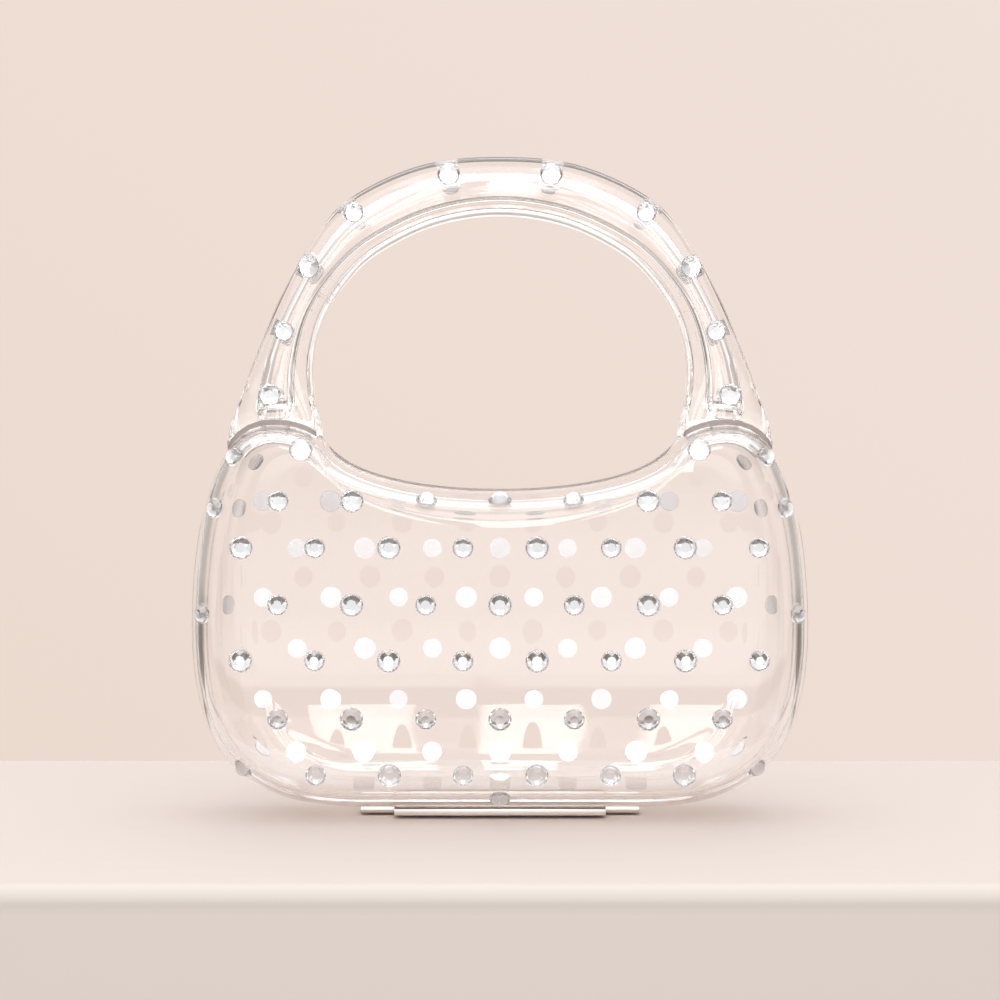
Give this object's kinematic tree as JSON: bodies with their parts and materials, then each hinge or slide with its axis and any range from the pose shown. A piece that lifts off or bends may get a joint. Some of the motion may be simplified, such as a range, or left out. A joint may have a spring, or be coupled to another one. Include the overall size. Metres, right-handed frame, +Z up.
{
  "type": "acrylic handbag",
  "caption": "Clear acrylic clamshell handbag with an arched top handle, flat-backed crystals set all over both faces, and a metal hinge under the base on which the front half opens.",
  "frame": {"origin": "on the table, under the middle of the bag", "axes": "+Z up, -Y towards the front face, +X to the right seen from the front"},
  "size_m": [0.1964, 0.0672, 0.209],
  "materials": {
    "clear_acrylic": "clear, polished",
    "crystal": "faceted, foil backed",
    "hinge_metal": "satin, plated"
  },
  "bodies": {
    "back_half": {"back_shell": "clear_acrylic", "back_handle": "clear_acrylic", "back_handle_stone_left_1": "crystal", "back_handle_stone_left_2": "crystal", "back_handle_stone_left_3": "crystal", "back_handle_stone_left_4": "crystal", "back_handle_stone_left_5": "crystal", "back_handle_stone_right_1": "crystal", "back_handle_stone_right_2": "crystal", "back_handle_stone_right_3": "crystal", "back_handle_stone_right_4": "crystal", "back_handle_stone_right_5": "crystal", "hinge_back_leaf": "hinge_metal", "hinge_pin": "hinge_metal"},
    "front_half": {"front_shell": "clear_acrylic", "front_handle": "clear_acrylic", "front_handle_stone_left_1": "crystal", "front_handle_stone_left_2": "crystal", "front_handle_stone_left_3": "crystal", "front_handle_stone_left_4": "crystal", "front_handle_stone_left_5": "crystal", "front_handle_stone_right_1": "crystal", "front_handle_stone_right_2": "crystal", "front_handle_stone_right_3": "crystal", "front_handle_stone_right_4": "crystal", "front_handle_stone_right_5": "crystal", "hinge_front_leaf": "hinge_metal"}
  },
  "joints": [
    {"name": "shell_hinge", "type": "hinge", "parent": "back_half", "child": "front_half", "pos_m": [0, 0, 0.00137], "axis": [1, 0, 0], "range_deg": [0, 90]}
  ]
}
